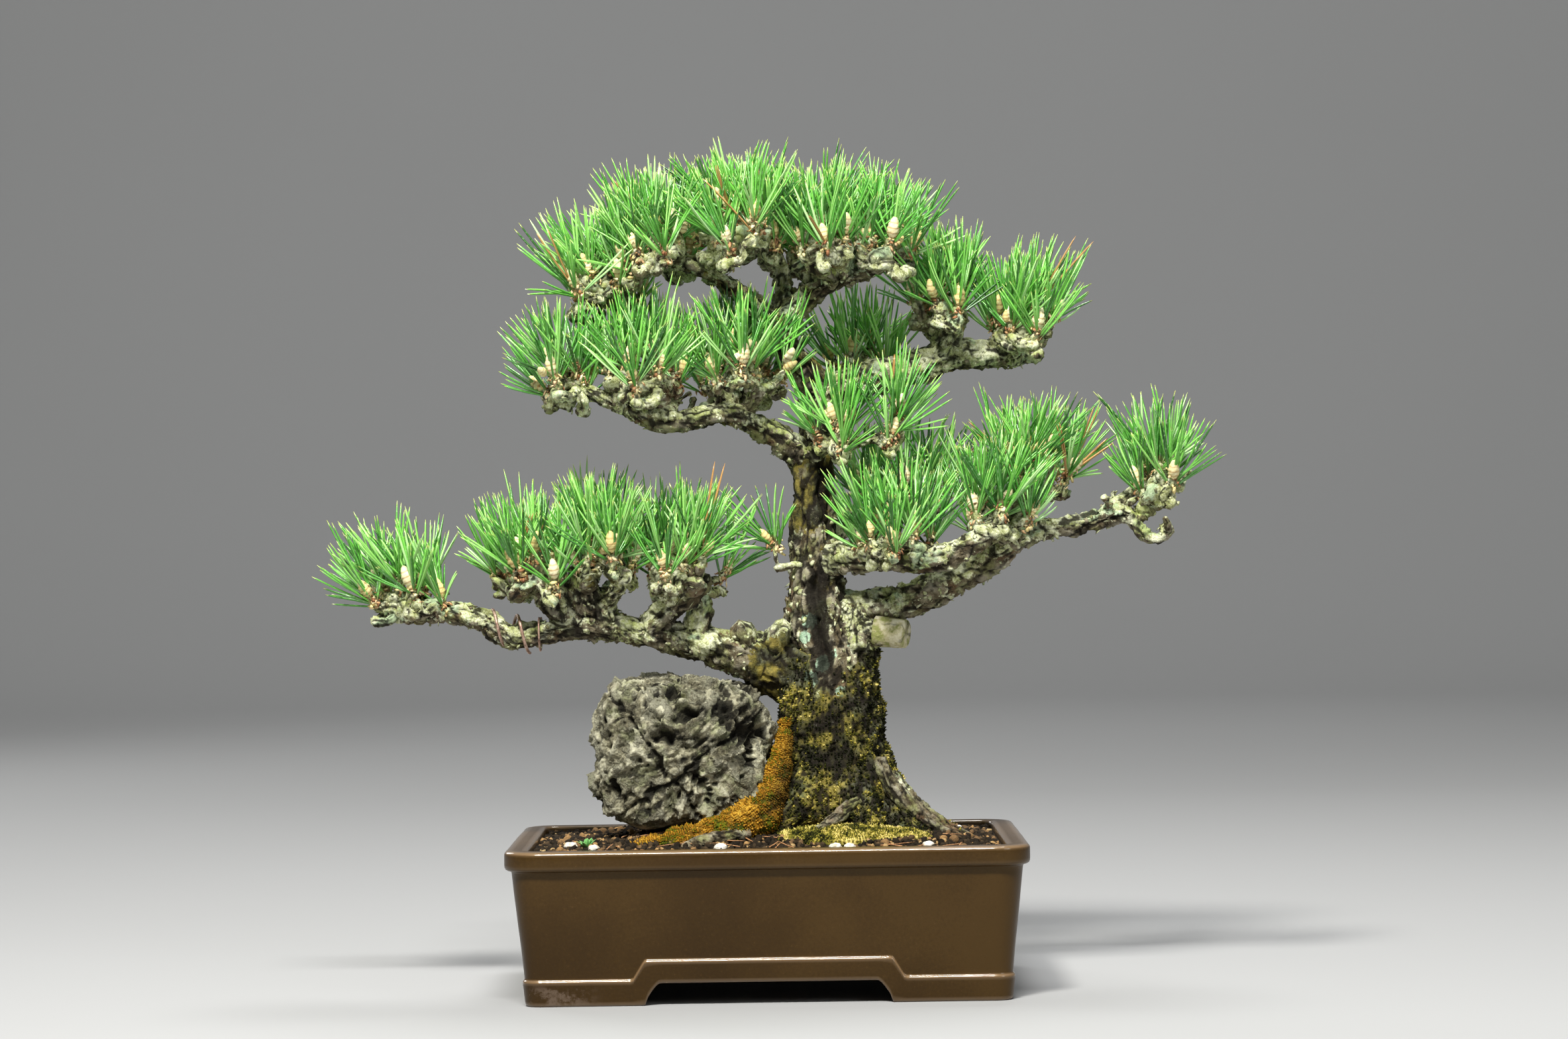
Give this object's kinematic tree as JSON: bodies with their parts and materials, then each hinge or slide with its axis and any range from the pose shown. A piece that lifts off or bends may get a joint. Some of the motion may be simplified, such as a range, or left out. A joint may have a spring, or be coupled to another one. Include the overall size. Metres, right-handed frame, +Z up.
{
  "type": "bonsai tree in a pot",
  "caption": "Pine bonsai with tiered needle pads and a thick mossy trunk, beside a wrinkled stone, planted in a footed rectangular glazed tray.",
  "frame": {"origin": "on the floor under the middle of the tray, at the bottom of its feet", "axes": "+X to the tree's right along the tray's long side, +Y to the tree's back, +Z up"},
  "size_m": [0.5885, 0.25, 0.5558],
  "materials": {
    "tray_glaze": "brown gloss glaze, satin on the walls",
    "bark": "rough grey-brown plated bark with lichen",
    "needles": "bright green waxy needles in pairs",
    "rock": "weathered grey-beige wrinkled stone",
    "moss": "orange-gold to green moss",
    "soil": "dark granular soil with pale grit",
    "pebbles": "pale worn pebbles",
    "net": "black plastic net",
    "wire": "annealed copper wire, dulled"
  },
  "bodies": {
    "root": {"tray": "tray_glaze", "trunk": "bark", "first_left_branch": "bark", "first_right_branch": "bark", "right_front_branch": "bark", "back_branch": "bark", "second_left_branch": "bark", "front_branch": "bark", "upper_right_branch": "bark", "crown_left_branch": "bark", "crown_right_branch": "bark", "crown_top_branch": "bark", "crown_back_branch": "bark", "needles_left_tip": "needles", "needles_left_outer": "needles", "needles_left_middle": "needles", "needles_left_inner": "needles", "needles_trunk_shoot": "needles", "needles_right_low_front": "needles", "needles_right_middle": "needles", "needles_right_outer": "needles", "needles_right_tip": "needles", "needles_back": "needles", "needles_second_left_outer": "needles", "needles_second_left_middle": "needles", "needles_second_left_inner": "needles", "needles_front": "needles", "needles_front_right": "needles", "needles_upper_right_inner": "needles", "needles_upper_right_outer": "needles", "needles_upper_back": "needles", "needles_crown_left_tip": "needles", "needles_crown_left": "needles", "needles_crown_middle": "needles", "needles_crown_right": "needles", "needles_crown_right_tip": "needles", "rock": "rock", "moss_bank": "moss", "moss_mat": "moss", "pebble_1": "pebbles", "pebble_2": "pebbles", "pebble_3": "pebbles", "pebble_4": "pebbles", "pebble_5": "pebbles", "pebble_6": "pebbles", "pebble_7": "pebbles", "drain_screen_left": "net", "screen_clip_left": "wire", "drain_screen_right": "net", "screen_clip_right": "wire", "soil": "soil", "training_wire": "wire"}
  },
  "joints": []
}
